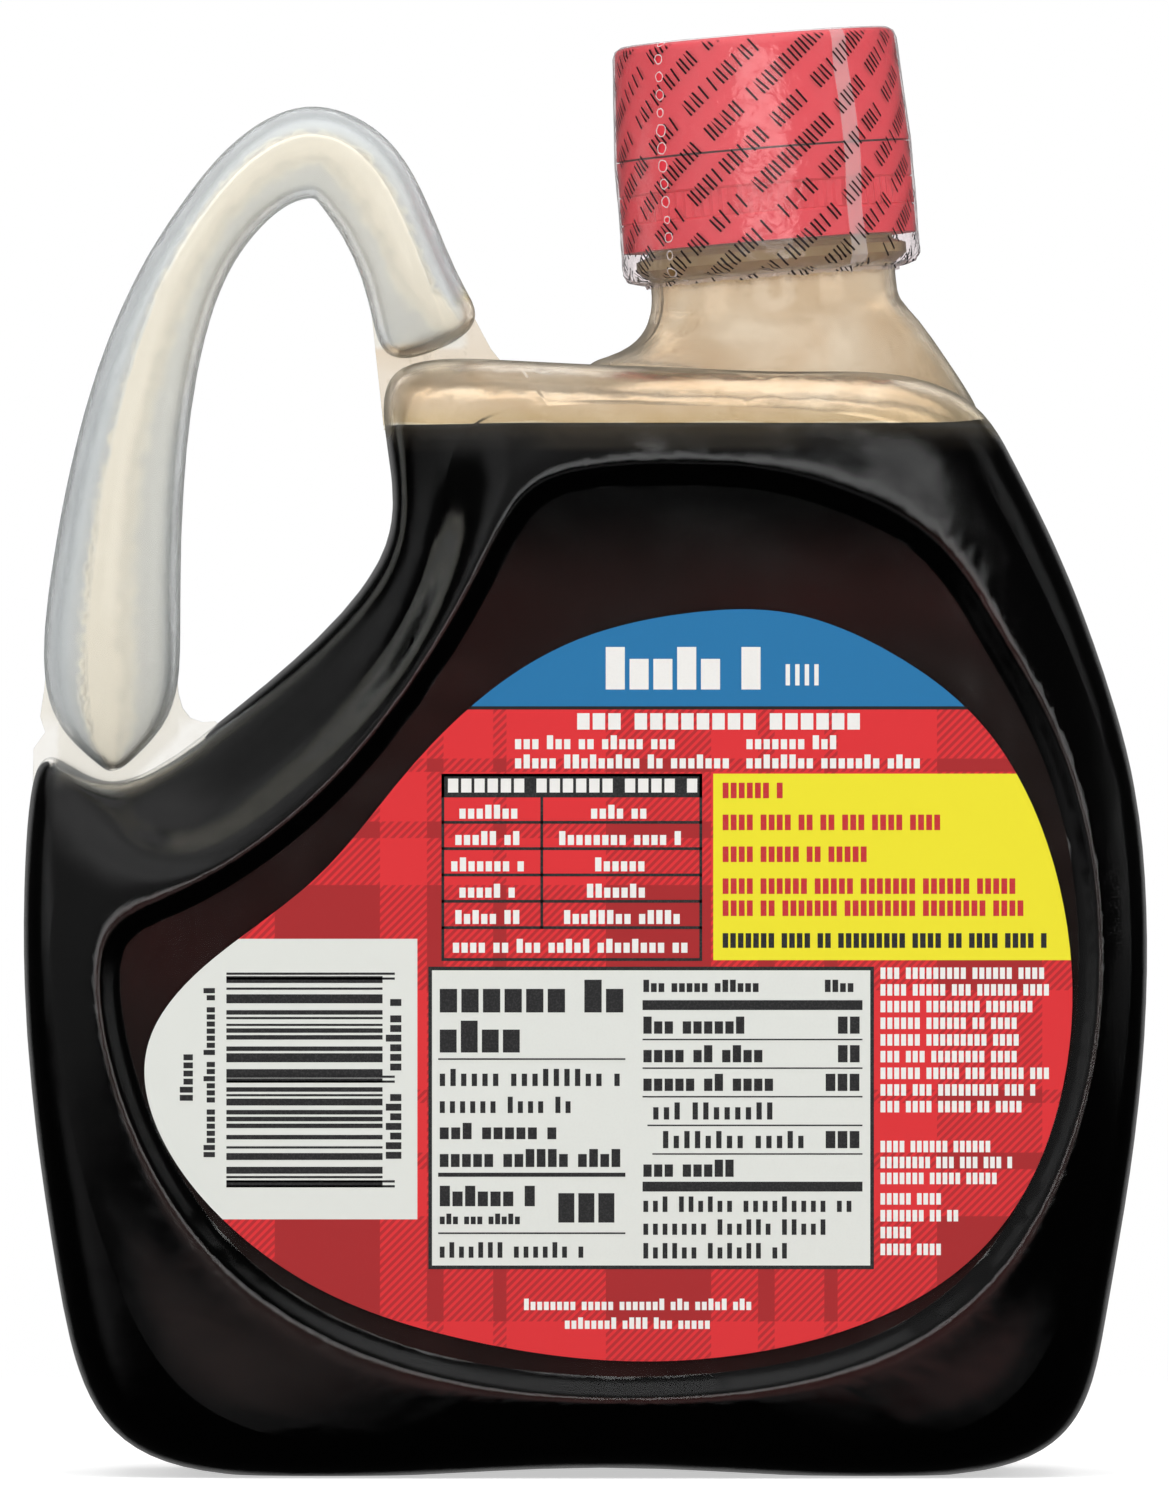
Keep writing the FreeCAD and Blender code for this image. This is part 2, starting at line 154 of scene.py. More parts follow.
def bottle_material():
    made, tree = new_material("clear_plastic")
    whole, x, _, z = tree.place()
    waves = tree.noise(whole, 0.05, 2.0)
    fine = tree.noise(whole, 0.6, 3.0)
    height = tree.math("MULTIPLY_ADD", fine, 0.05, waves)
    normal = tree.bump(height, 0.35, 1.2)
    # which part of the bottle a place is in
    slope = tree.math("MULTIPLY_ADD", x, -0.98, z)
    leg = tree.all_of(
        tree.step(z, 91.0, 94.0), tree.step(x, -31.0, -33.5), tree.step(slope, 139.0, 141.0)
    )
    tip = tree.all_of(
        tree.step(z, 84.0, 85.5), tree.band(x, -65.0, -50.0, 0.5), tree.step(slope, 139.0, 141.0)
    )
    end = tree.all_of(tree.step(z, 138.2, 139.4), tree.step(x, -14.0, -16.0))
    loop = tree.math("MAXIMUM", tree.math("MAXIMUM", leg, tip), end)
    shoulder = tree.all_of(tree.step(z, 126.5, 128.5), tree.math("SUBTRACT", 1.0, loop))
    # facets of the loop: which way they face, away from its middle or towards it; their colours are painted
    # light
    facing = tree.add("ShaderNodeNewGeometry").outputs["Normal"]
    aside = tree.math("SUBTRACT", x, GAP_MIDDLE[0])
    above = tree.math("MAXIMUM", tree.math("SUBTRACT", z, GAP_MIDDLE[1]), 0.0)
    away = tree.add("ShaderNodeCombineXYZ", {0: aside, 2: above}).outputs[0]
    away = tree.add("ShaderNodeVectorMath", {0: away}, operation="NORMALIZE").outputs[0]
    outward = tree.add("ShaderNodeVectorMath", {0: facing, 1: away}, operation="DOT_PRODUCT").outputs["Value"]
    rough_edge = tree.math("MULTIPLY_ADD", tree.math("SUBTRACT", fine, 0.5), 0.25, outward)
    outer = tree.step(rough_edge, 0.2, 0.3)
    inner_painted_shade = tree.step(rough_edge, -0.45, -0.9)
    # painted reflection on the outer facets (blue-grey), painted shade along the inner edge (greyer)
    loop_tint_and_painted_shade = tree.mix(outer, rgb(252, 248, 238), rgb(228, 232, 235))
    loop_tint_and_painted_shade = tree.mix(inner_painted_shade, loop_tint_and_painted_shade, rgb(240, 241, 239))
    # a painted grey line where the outer band begins
    painted_crest_line = tree.math("MULTIPLY", tree.band(rough_edge, 0.17, 0.2, 0.03), 0.6)
    loop_tint_and_painted_shade = tree.mix(painted_crest_line, loop_tint_and_painted_shade, rgb(176, 176, 176))
    # streaks and drops of syrup on the inside of the shoulder
    film = tree.step(tree.noise(whole, 0.06, 4.0, 1.5), 0.35, 0.7)
    shoulder_colour = tree.mix(film, rgb(247, 236, 220), rgb(238, 221, 198))
    drops = tree.math("MULTIPLY", tree.step(tree.noise(whole, 0.35, 2.0, 2.0), 0.62, 0.68), 0.35)
    shoulder_colour = tree.mix(drops, shoulder_colour, rgb(206, 188, 158))
    level = tree.math("MULTIPLY_ADD", tree.noise(whole, 0.12, 2.0), 1.2, z)
    olive = tree.step(level, 133.0, 129.3)
    shoulder_colour = tree.mix(tree.math("MULTIPLY", olive, 0.5), shoulder_colour, rgb(232, 216, 176))
    shaded = tree.math("MULTIPLY", tree.step(x, 34.0, 58.0), 0.6)
    shoulder_colour = tree.mix(shaded, shoulder_colour, rgb(204, 195, 172))
    # a painted highlight: a pale line along the syrup's level
    meniscus_highlight = tree.band(level, 129.2, 129.7, 0.15)
    shoulder_colour = tree.mix(meniscus_highlight, shoulder_colour, rgb(255, 252, 240))
    plain = tree.mix(tree.step(fine, 0.3, 0.7), rgb(250, 248, 243), rgb(246, 243, 237))
    # the collar under the cap, painted yellowish: a painted glow for the light that its thick plastic gathers
    up = tree.add("ShaderNodeVectorMath", {0: whole, 1: NECK_FOOT}, operation="SUBTRACT").outputs[0]
    up = tree.add("ShaderNodeVectorMath", {0: up, 1: NECK_UP}, operation="DOT_PRODUCT").outputs["Value"]
    collar = tree.band(up, 1.8, 5.7, 0.3)
    shoulder_colour = tree.mix(collar, shoulder_colour, rgb(236, 222, 176))
    colour = tree.mix(shoulder, plain, shoulder_colour)
    colour = tree.mix(loop, colour, loop_tint_and_painted_shade)
    roughness = tree.blend(loop, tree.blend(shoulder, 0.13, 0.12), 0.2)
    glass = tree.principled(
        Base_Color=colour, Roughness=roughness, IOR=1.46, Transmission_Weight=1.0, Normal=normal
    )
    # milkier where it is seen edge on and the light's way through it is long, and painted greyer there as
    # painted shade along the edges
    grazing = tree.add("ShaderNodeLayerWeight", {"Blend": 0.5}).outputs["Facing"]
    edge = tree.math("MULTIPLY", tree.step(grazing, 0.5, 0.95), tree.math("MAXIMUM", loop, shoulder))
    haze = tree.mix(edge, colour, tree.mix(loop, rgb(176, 170, 154), rgb(206, 209, 210)))
    matte = tree.add("ShaderNodeBsdfDiffuse", {"Color": haze, "Normal": normal}).outputs[0]
    through = tree.add("ShaderNodeBsdfTranslucent", {"Color": haze, "Normal": normal}).outputs[0]
    milk = tree.add("ShaderNodeMixShader", {0: 0.75, 1: matte, 2: through}).outputs[0]
    above_level = tree.blend(shoulder, 0.0, tree.blend(collar, 0.08, 0.6))
    share = tree.blend(loop, above_level, tree.blend(outer, 0.12, 0.26))
    share = tree.math("MAXIMUM", share, tree.math("MULTIPLY", edge, 0.75))
    tree.surface(tree.add("ShaderNodeMixShader", {0: share, 1: glass, 2: milk}).outputs[0])
    return made


bottle = nodes["bottle"]
dress(bottle, bottle_material())
smooth(bottle.data)


# ---- syrup -------------------------------------------------------------------------------
# Dark corn syrup with caramel colour: it wets the wall, so its skin reaches just into the
# plastic, no air shows between them and it has no gloss of its own there.
SYRUP_GROWTH = 0.5  # through the clearance and into the wall
SYRUP_LEVEL = 128.6


def new_piece(name, mesh, slot, *materials):
    piece = bpy.data.objects.new(name, mesh)
    scene.collection.objects.link(piece)
    dress(piece, *materials)
    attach(piece, "root")
    return piece


def syrup_material():
    made, tree = new_material("dark_syrup")
    whole, x, _, z = tree.place()
    # painted light: a little brown is painted behind the flat panels, fading to black towards the top, black
    # elsewhere
    drift = tree.noise(whole, 0.02, 2.0)
    red = tree.step(drift, 0.42, 0.62)
    glow = tree.mix(red, rgb(44, 34, 33), rgb(54, 32, 31))
    facing = tree.add("ShaderNodeNewGeometry").outputs["Normal"]
    facing = tree.add("ShaderNodeSeparateXYZ", {0: facing}).outputs[1]
    flat = tree.step(tree.math("ABSOLUTE", facing), 0.985, 1.0)
    lower = tree.step(z, 120.0, 106.0)
    colour = tree.mix(tree.all_of(flat, lower), rgb(1, 1, 1), glow)
    # and a painted sheen: a paler band right under the level, strongest in the middle
    edge = tree.step(z, SYRUP_LEVEL - 3.4, SYRUP_LEVEL - 2.2)
    middle = tree.band(x, -5.0, 26.0, 3.0)
    edge = tree.math("MULTIPLY", edge, tree.math("MULTIPLY_ADD", middle, 0.35, 0.12))
    colour = tree.mix(edge, colour, rgb(66, 61, 54))
    shader = tree.principled(Base_Color=colour, Roughness=0.5, IOR=1.49, Specular_IOR_Level=0.0)
    tree.surface(shader)
    return made


def grown(source, name, distance):
    """A copy of a CAD node's mesh with every point moved out along its normal."""
    mesh = source.data.copy()
    mesh.name = name
    bm = bmesh.new()
    bm.from_mesh(mesh)
    bmesh.ops.remove_doubles(bm, verts=bm.verts, dist=0.01 * MM)
    bm.normal_update()
    for vertex in bm.verts:
        vertex.co += vertex.normal * distance * MM
    bm.to_mesh(mesh)
    bm.free()
    smooth(mesh)
    return mesh


syrup_skin = grown(nodes["syrup"], "syrup_fill", SYRUP_GROWTH)
syrup = new_piece("syrup_fill", syrup_skin, "dark_syrup", syrup_material())
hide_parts("syrup")


# ---- cap ---------------------------------------------------------------------------------
# Two injection-moulded pieces of satin red plastic: a skirt with a band of fine ribs, which
# screws onto the neck, and a tapered flip-top lid with a rounded edge.
def cap_material():
    made, tree = new_material("red_cap_plastic")
    whole = tree.place()[0]
    fine = tree.noise(whole, 1.5, 3.0)
    colour = tree.mix(fine, rgb(236, 52, 68), rgb(244, 66, 80))
    roughness = tree.blend(fine, 0.36, 0.46)
    shader = tree.principled(Base_Color=colour, Roughness=roughness, IOR=1.5)
    tree.surface(shader)
    return made


cap_plastic = cap_material()
dress(nodes["cap_base"], cap_plastic)
dress(nodes["cap_lid"], cap_plastic)


# ---- shrink band -------------------------------------------------------------------------
# Clear film, heat-shrunk round cap and neck bead: printed with slanting rows of ticks, torn
# open along a column of small holes, overlapped in one seam, and bunched at its hem.
FILM_RADIUS = 18.4
FILM_PROFILE = [  # radius, height above the foot of the neck, how loosely it lies
    (15.5, 1.3, 0.5),
    (15.6, 1.8, 0.6),
    (16.6, 2.0, 0.7),
    (17.7, 2.3, 0.6),
    (18.3, 3.2, 0.3),
    (18.4, 4.4, 0.16),
    (18.4, 6.0, 0.1),
    (18.4, 12.0, 0.06),
    (18.4, 17.1, 0.05),
    (18.15, 21.0, 0.03),
    (17.6, 29.9, 0.03),
    (17.25, 30.8, 0.05),
    (16.5, 31.25, 0.08),
    (13.8, 31.3, 0.15),
]
FILM_TURNS = 360
FILM_STEPS = 6
PERFORATION_TURN = -43.0  # degrees round the neck from the side of the back label
PERFORATION_PITCH = 2.2
OVERLAP_TURN = 37.0
TICK_SLANT = math.radians(-38)
TICK_ROW = 4.4  # from one slanting row to the next
TICK_SHIFT = 7.4  # how far each row is moved along against the one before
TICK_CELL = 1.45  # length of row that one or two ticks stand in
TICK_WORD = 15.0  # cells before the gaps repeat
FLAT_SCALE = 100.0  # millimetres to one unit of the flat map


def ripple(turn, height):
    """Unevenness of the film at a turn in radians and a height, about -1 to 1."""
    slow = math.sin(7 * turn + 0.31 * height) + math.sin(13 * turn - 0.7 * height + 1.3)
    fast = math.sin(31 * turn + 1.9 * height + 0.4) + math.sin(53 * turn - 1.1 * height)
    return 0.3 * slow + 0.2 * fast


def film_mesh():
    profile = []
    for (r0, h0, l0), (r1, h1, l1) in zip(FILM_PROFILE, FILM_PROFILE[1:]):
        for k in range(FILM_STEPS):
            share = k / FILM_STEPS
            profile.append((r0 + (r1 - r0) * share, h0 + (h1 - h0) * share, l0 + (l1 - l0) * share))
    profile.append(FILM_PROFILE[-1])
    run = [0.0]
    for (r0, h0, _), (r1, h1, _) in zip(profile, profile[1:]):
        run.append(run[-1] + math.hypot(r1 - r0, h1 - h0))
    points, sheet = [], []
    for radius, height, loose in profile:
        for k in range(FILM_TURNS):
            turn = 2 * math.pi * k / FILM_TURNS
            reach = radius + loose * ripple(turn, height)
            out = NECK_RIGHT * math.sin(turn) - Vector((0.0, 1.0, 0.0)) * math.cos(turn)
            sag = 0.35 * loose * ripple(turn * 2.0, 3.0 * height)
            points.append((NECK_FOOT + NECK_UP * (height + sag) + out * reach) * MM)
    faces = []
    rows = len(profile)
    for row in range(rows - 1):
        for k in range(FILM_TURNS):
            on = (k + 1) % FILM_TURNS
            low, high = row * FILM_TURNS, (row + 1) * FILM_TURNS
            faces.append((low + k, low + on, high + on, high + k))
            for r, t in ((row, k), (row, k + 1), (row + 1, k + 1), (row + 1, k)):
                turned = 2 * math.pi * t / FILM_TURNS
                turned = turned - 2 * math.pi if k >= FILM_TURNS // 2 else turned
                sheet.append((turned * FILM_RADIUS, run[r]))
    mesh = bpy.data.meshes.new("shrink_film")
    mesh.from_pydata(points, [], faces)
    laid = mesh.uv_layers.new(name="laid_flat")
    laid.data.foreach_set("uv", np.array(sheet, np.float32).ravel() / FLAT_SCALE)
    smooth(mesh)
    return mesh


def film_material():
    """Printed film. Its flat coordinates are round and up the film, in millimetres."""
    made, tree = new_material("clear_film")
    raw = tree.add("ShaderNodeUVMap", uv_map="laid_flat").outputs[0]
    flat = tree.add("ShaderNodeVectorMath", {0: raw, "Scale": FLAT_SCALE}, operation="SCALE").outputs[0]
    split = tree.add("ShaderNodeSeparateXYZ", {0: flat})
    around, up = split.outputs[0], split.outputs[1]
    # rows of slanting ticks, in the place of type
    slant = {"Vector": flat, "Angle": TICK_SLANT}
    slanted = tree.add("ShaderNodeVectorRotate", slant, rotation_type="Z_AXIS").outputs[0]
    slanted = tree.add("ShaderNodeSeparateXYZ", {0: slanted})
    along, across = slanted.outputs[0], slanted.outputs[1]
    row = tree.math("DIVIDE", across, TICK_ROW)
    row_number = tree.math("FLOOR", row)
    in_row = tree.math("FRACT", row)
    shifted = tree.math("MULTIPLY_ADD", row_number, TICK_SHIFT, along)
    cell = tree.math("DIVIDE", shifted, TICK_CELL)
    in_cell = tree.math("FRACT", cell)
    in_word = tree.math("WRAP", tree.math("FLOOR", cell), TICK_WORD, 0.0)
    gap = tree.math("COMPARE", in_word, 9.0, 0.5)
    end = tree.math("COMPARE", in_word, 14.0, 0.5)
    blank = tree.math("MAXIMUM", gap, end)
    seed = tree.add("ShaderNodeCombineXYZ", {0: tree.math("FLOOR", cell), 1: row_number}).outputs[0]
    dice = tree.add("ShaderNodeTexWhiteNoise", {"Vector": seed}, noise_dimensions="2D").outputs[0]
    lean = tree.math("MULTIPLY_ADD", in_row, tree.math("MULTIPLY_ADD", dice, 0.5, -0.1), in_cell)
    first = tree.band(lean, 0.14, 0.32, 0.03)
    second = tree.band(lean, 0.58, 0.76, 0.03)
    strokes = tree.math("MAXIMUM", first, tree.all_of(second, tree.step(dice, 0.3, 0.31)))
    tall = tree.band(in_row, 0.26, 0.74, 0.01)
    print_mask = tree.all_of(strokes, tall, tree.math("SUBTRACT", 1.0, blank))
    print_mask = tree.math("MULTIPLY", print_mask, tree.step(up, 31.6, 31.0))
    # a column of punched holes with whitened rims
    column = math.radians(PERFORATION_TURN) * FILM_RADIUS
    aside = tree.math("SUBTRACT", around, column)
    turn = tree.math("DIVIDE", up, PERFORATION_PITCH)
    beyond = tree.math("SUBTRACT", tree.math("FRACT", turn), 0.5)
    beyond = tree.math("MULTIPLY", beyond, PERFORATION_PITCH)
    squares = tree.math("MULTIPLY", aside, aside), tree.math("MULTIPLY", beyond, beyond)
    away = tree.math("SQRT", tree.math("ADD", *squares))
    number = tree.add("ShaderNodeCombineXYZ", {0: tree.math("FLOOR", turn)}).outputs[0]
    size = tree.add("ShaderNodeTexWhiteNoise", {"Vector": number}, noise_dimensions="3D").outputs[0]
    size = tree.math("MULTIPLY_ADD", size, 0.4, 0.35)
    torn = tree.math("MULTIPLY_ADD", tree.noise(flat, 2.0, 1.0), 0.3, tree.math("SUBTRACT", away, 0.15))
    hole = tree.step(tree.math("SUBTRACT", torn, size), 0.04, -0.04)
    rim = tree.math("MULTIPLY", tree.band(tree.math("SUBTRACT", torn, size), -0.02, 0.14, 0.04), 0.7)
    # the overlap of its two ends, whiter than one layer
    seam_place = tree.math("SUBTRACT", around, math.radians(OVERLAP_TURN) * FILM_RADIUS)
    drift = tree.math("MULTIPLY", tree.noise(flat, 0.08, 1.0), 1.6)
    overlap = tree.band(tree.math("ADD", seam_place, drift), -0.9, 1.5, 0.12)
    haze = tree.math("MULTIPLY_ADD", overlap, 0.26, 0.07)
    haze = tree.math("ADD", haze, tree.math("MULTIPLY", tree.step(up, 3.6, 1.2), 0.2))
    shrink = tree.noise(flat, 0.5, 3.0, 1.5)
    normal = tree.bump(shrink, 0.3, 0.4)
    clear = tree.add("ShaderNodeBsdfTransparent", {"Color": rgb(253, 248, 249)}).outputs[0]
    sheen = {"Color": (1.0, 1.0, 1.0, 1.0), "Roughness": 0.2, "Normal": normal}
    gloss = tree.add("ShaderNodeBsdfGlossy", sheen).outputs[0]
    white = tree.add("ShaderNodeBsdfDiffuse", {"Color": rgb(246, 236, 236)}).outputs[0]
    ink = tree.principled(Base_Color=rgb(22, 16, 18), Roughness=0.3)
    fresnel = tree.add("ShaderNodeFresnel", {"IOR": 1.7, "Normal": normal}).outputs[0]
    outside = tree.math("SUBTRACT", 1.0, tree.add("ShaderNodeNewGeometry").outputs["Backfacing"])
    fresnel = tree.math("MULTIPLY", fresnel, outside)
    shader = tree.add("ShaderNodeMixShader", {0: haze, 1: clear, 2: white}).outputs[0]
    shader = tree.add("ShaderNodeMixShader", {0: fresnel, 1: shader, 2: gloss}).outputs[0]
    shader = tree.add("ShaderNodeMixShader", {0: print_mask, 1: shader, 2: ink}).outputs[0]
    shader = tree.add("ShaderNodeMixShader", {0: rim, 1: shader, 2: white}).outputs[0]
    open_air = tree.add("ShaderNodeBsdfTransparent").outputs[0]
    shader = tree.add("ShaderNodeMixShader", {0: hole, 1: shader, 2: open_air}).outputs[0]
    tree.surface(shader)
    return made


film = new_piece("shrink_film", film_mesh(), "clear_film", film_material())
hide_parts("shrink_band")


# ---- labels ------------------------------------------------------------------------------
# Two sheets of coated paper, glued to the flats of the panels. Their grounds are colours of
# the paper's material: a blue arch over a red tartan, and on the back a yellow and a pale
# field. Lines, tables and bars are thin plates of ink, as blocks in the place of type.
TARTAN_REPEAT = 40.5
TARTAN_START = (-37.9, 59.6)  # X and Z where a wide band begins
ARCH_FOOT = (93.9, 94.3)  # height of the black line's lower edge and of the blue's


def node_group(name, inputs=(), outputs=()):
    """A shader node group with colour or vector sockets, its tree and its input node."""
    group = bpy.data.node_groups.new(name, "ShaderNodeTree")
    for way, sockets in (("INPUT", inputs), ("OUTPUT", outputs)):
        for label, kind in sockets:
            group.interface.new_socket(name=label, in_out=way, socket_type="NodeSocket" + kind)
    tree = Tree(group)
    return group, tree, tree.add("NodeGroupInput")


def label_print_group():
    """What both labels share: a red tartan of wide and narrow bands both ways, hatched
    where one crosses the ground, a blue arch over a black line, and the paper's grain."""
    group, tree, _ = node_group("label_print", (), (("Colour", "Color"), ("Normal", "Vector")))
    whole, x, _, z = tree.place()
    hatch = tree.step(tree.math("FRACT", tree.math("SUBTRACT", z, x)), 0.45, 0.55)
    masks = []
    for place, start in zip((x, z), TARTAN_START):
        turn = tree.math("DIVIDE", tree.math("SUBTRACT", place, start), TARTAN_REPEAT)
        turn = tree.math("FRACT", tree.math("ADD", turn, 4.0))
        wide = tree.band(turn, 0.0, 0.318, 0.002)
        narrow = tree.band(turn, 0.46, 0.51, 0.002), tree.band(turn, 0.66, 0.7, 0.002)
        narrow = tree.math("MAXIMUM", *narrow)
        masks.append(tree.math("MAXIMUM", wide, narrow))
    one = tree.math("MAXIMUM", masks[0], masks[1])
    both = tree.math("MULTIPLY", masks[0], masks[1])
    colour = tree.mix(tree.math("MULTIPLY", one, hatch), rgb(222, 40, 46), rgb(182, 30, 36))
    colour = tree.mix(both, colour, rgb(168, 26, 30))
    for foot, printed in zip(ARCH_FOOT, (rgb(12, 12, 14), rgb(22, 114, 168))):
        colour = tree.mix(tree.step(z, foot, foot + 0.1), colour, printed)
    grain = tree.bump(tree.noise(whole, 3.0, 3.0), 0.08, 0.05)
    tree.add("NodeGroupOutput", {"Colour": colour, "Normal": grain})
    return group


LABEL_PRINT = label_print_group()


def back_label_material():
    made, tree = new_material("printed_label")
    _, x, _, z = tree.place()
    shared = tree.add("ShaderNodeGroup", node_tree=LABEL_PRINT)
    colour = shared.outputs["Colour"]
    yellow = tree.all_of(tree.step(x, 15.7, 15.8), tree.band(z, 63.3, 86.1))
    colour = tree.mix(yellow, colour, rgb(240, 228, 38))
    pale = tree.all_of(tree.step(x, -20.4, -20.5), tree.band(z, 31.6, 65.9))
    colour = tree.mix(pale, colour, rgb(226, 228, 222))
    shader = tree.principled(
        Base_Color=colour, Roughness=0.42, IOR=1.45, Normal=shared.outputs["Normal"]
    )
    tree.surface(shader)
    return made


def front_label_material():
    made, tree = new_material("front_printed_label")
    shared = tree.add("ShaderNodeGroup", node_tree=LABEL_PRINT)
    colour, normal = shared.outputs["Colour"], shared.outputs["Normal"]
    shader = tree.principled(Base_Color=colour, Roughness=0.42, IOR=1.45, Normal=normal)
    tree.surface(shader)
    return made


def ink_group():
    """Printing ink: its colour thins a little where the paper's grain shows through."""
    group, tree, given = node_group("ink_on_paper", (("Ink", "Color"),), (("Colour", "Color"),))
    whole = tree.place()[0]
    thin = tree.math("MULTIPLY", tree.step(tree.noise(whole, 4.0, 3.0), 0.4, 0.8), 0.06)
    colour = tree.mix(thin, given.outputs["Ink"], (0.5, 0.5, 0.5, 1.0))
    tree.add("NodeGroupOutput", {"Colour": colour})
    return group


INK_ON_PAPER = ink_group()


def ink_material(name, colour):
    made, tree = new_material(name)
    inked = tree.add("ShaderNodeGroup", node_tree=INK_ON_PAPER)
    inked.inputs["Ink"].default_value = colour
    tree.surface(tree.principled(Base_Color=inked.outputs["Colour"], Roughness=0.4, IOR=1.45))
    return made


INKS = {
    "black": ink_material("ink_black", rgb(16, 15, 17)),
    "white": ink_material("ink_white", rgb(240, 238, 234)),
    "pale": ink_material("ink_pale", rgb(226, 228, 222)),
    "red": ink_material("ink_red", rgb(196, 34, 40)),
    "blue": ink_material("ink_blue", rgb(22, 114, 168)),
    "tan": ink_material("ink_tan", rgb(222, 170, 98)),
    "brown": ink_material("ink_brown", rgb(120, 62, 28)),
    "yellow": ink_material("ink_yellow", rgb(246, 226, 110)),
}
LABEL_FACE = 25.42  # outer face of either label, from the parting plane
INK_LAYER = 0.012


class Print:
    """Flat printed shapes on one label, as thin plates. X is measured as one reads, from
    left to right, and Z upwards."""

    def __init__(self, side, seed):
        self.side = side  # -1 for the back label, 1 for the front label
        self.dice = random.Random(seed)
        self.points, self.faces, self.inks = [], [], []

    def plate(self, outline, ink, layer=1):
        """A plate over a closed outline, given anticlockwise as one reads it."""
        start, count = len(self.points), len(outline)
        for depth in ((layer - 1) * INK_LAYER, layer * INK_LAYER):
            for x, z in outline:
                self.points.append((-self.side * x * MM, self.side * (LABEL_FACE + depth) * MM, z * MM))
        near, far = start + count, start
        faces = [tuple(range(near, near + count)), tuple(range(far + count - 1, far - 1, -1))]
        for k in range(count):
            on = (k + 1) % count
            faces.append((far + k, far + on, near + on, near + k))
        self.faces += faces
        self.inks += [list(INKS).index(ink)] * len(faces)

    def box(self, x0, x1, z0, z1, ink, layer=1):
        self.plate([(x0, z0), (x1, z0), (x1, z1), (x0, z1)], ink, layer)

    def disc(self, x, z, across, up, ink, layer=1, corners=72):
        turns = [2 * math.pi * k / corners for k in range(corners)]
        self.plate([(x + across * math.cos(t), z + up * math.sin(t)) for t in turns], ink, layer)

    def frame(self, x0, x1, z0, z1, width, ink, layer=1):
        self.box(x0, x1, z0, z0 + width, ink, layer)
        self.box(x0, x1, z1 - width, z1, ink, layer)
        self.box(x0, x0 + width, z0 + width, z1 - width, ink, layer)
        self.box(x1 - width, x1, z0 + width, z1 - width, ink, layer)

    def words(self, x0, x1, z0, z1, ink, layer=1, letter=0.62, tall=False, weight=0.72):
        """A line of type as letter-sized blocks in word-sized groups, from x0 to x1."""
        pitch = (z1 - z0) * letter
        x, left = x0, self.dice.randint(3, 8)
        while x + pitch * weight <= x1 + 0.01:
            if left == 0:
                x, left = x + 0.7 * pitch, self.dice.randint(2, 9)
                continue
            short = not tall and self.dice.random() < 0.7
            top = z0 + (z1 - z0) * (0.72 if short else 1.0)
            self.box(x, x + pitch * weight, z0, top, ink, layer)
            x, left = x + pitch, left - 1

    def upright_words(self, x0, x1, z0, z1, ink, layer=1):
        """The same, read from below upwards."""
        pitch = (x1 - x0) * 0.62
        z, left = z0, self.dice.randint(5, 9)
        while z + 0.72 * pitch <= z1:
            if left == 0:
                z, left = z + 0.7 * pitch, self.dice.randint(5, 9)
                continue
            short = self.dice.random() < 0.7
            self.box(x1 - (x1 - x0) * (0.72 if short else 1.0), x1, z, z + 0.72 * pitch, ink, layer)
            z, left = z + pitch, left - 1

    def done(self, name):
        mesh = bpy.data.meshes.new(name)
        mesh.from_pydata(self.points, [], self.faces)
        piece = new_piece(name, mesh, "printed_label", *INKS.values())
        mesh.polygons.foreach_set("material_index", self.inks)
        return piece


